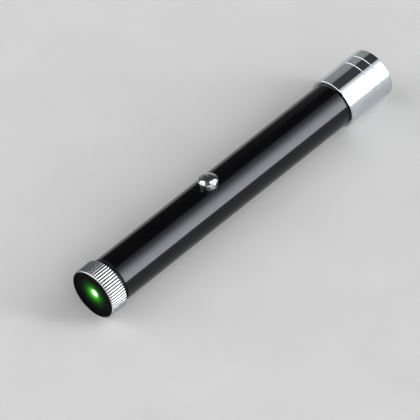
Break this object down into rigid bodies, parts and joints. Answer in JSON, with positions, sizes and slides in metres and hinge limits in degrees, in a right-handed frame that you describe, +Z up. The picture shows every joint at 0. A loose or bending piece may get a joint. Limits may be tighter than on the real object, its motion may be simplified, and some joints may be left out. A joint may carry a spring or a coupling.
{
  "type": "laser pointer",
  "caption": "Pen-shaped laser pointer with a lacquered barrel, knurled chrome head ring, domed push button and chrome screw cap over a battery.",
  "frame": {"origin": "below the middle of the pen's length, on the surface that it lies on", "axes": "+X along the pen towards the end that the beam leaves, +Z up with the push button on top"},
  "size_m": [0.1042, 0.014, 0.0155],
  "materials": {
    "black_lacquer": "gloss black lacquer on brass",
    "chrome": "polished chrome plate on brass",
    "black_face": "satin black",
    "brass": "turned brass",
    "steel": "plain steel",
    "spring_steel": "bright spring wire",
    "clear_glass": "coated lens glass",
    "filter_glass": "pale blue-green filter glass",
    "crystal": "pale violet crystal",
    "board_green": "green solder resist",
    "chip_black": "moulded black",
    "switch_black": "moulded black",
    "switch_cover": "tinned steel",
    "ferrite": "dark grey ferrite",
    "capacitor_tan": "tan ceramic",
    "resistor_dark": "dark chip with tinned ends",
    "trimmer_white": "white plastic",
    "carrier_plastic": "natural plastic",
    "battery_steel": "nickel-plated steel",
    "battery_wrap": "plain blue sleeve",
    "battery_core": "packed battery filling",
    "battery_seal": "grey plastic"
  },
  "bodies": {
    "barrel": {"barrel": "black_lacquer", "head_ring": "chrome", "aperture_insert": "black_face", "module_housing": "brass", "lens_cell": "brass", "collimating_lens": "clear_glass", "lens_retainer": "black_face", "lens_spring": "spring_steel", "expander_holder": "brass", "expander_lens": "clear_glass", "infrared_filter": "filter_glass", "crystal_mount": "brass", "laser_crystal": "crystal", "diode_base": "steel", "diode_can": "steel", "diode_window": "clear_glass", "diode_retainer": "brass", "diode_pins": "steel", "driver_board": "board_green", "driver_chip": "chip_black", "board_inductor": "ferrite", "board_capacitors": "capacitor_tan", "board_resistors": "resistor_dark", "trimmer_body": "trimmer_white", "trimmer_rotor": "brass", "switch_body": "switch_black", "switch_cover": "switch_cover", "switch_legs": "steel", "switch_dome": "spring_steel", "board_carrier": "carrier_plastic", "positive_contact": "brass", "cell_can": "battery_steel", "cell_core": "battery_core", "cell_wrap": "battery_wrap", "cell_positive_cap": "battery_steel", "cell_seal": "battery_seal", "cell_base": "battery_steel"},
    "button": {"button": "chrome", "switch_plunger": "switch_black"},
    "tail_slide": {"tail_spring": "spring_steel", "spring_contact": "brass"},
    "tail_cap": {"tail_cap": "chrome"}
  },
  "joints": [
    {"name": "button_press", "type": "slide", "parent": "barrel", "child": "button", "axis": [0, 0, -1], "range_m": [0, 0.00035], "stiffness_N_per_m": 1500, "springref_m": -0.001, "deforming": ["switch_dome"]},
    {"name": "tail_travel", "type": "slide", "parent": "barrel", "child": "tail_slide", "axis": [-1, 0, 0], "range_m": [0, 0.0045]},
    {"name": "tail_turn", "type": "hinge", "parent": "tail_slide", "child": "tail_cap", "pos_m": [-0.044, 0, 0.007], "axis": [-1, 0, 0], "range_deg": [0, 2160]}
  ],
  "couplings": [
    {"joint": "tail_travel", "follows": "tail_turn", "m_per_rad": 0.00011937}
  ]
}
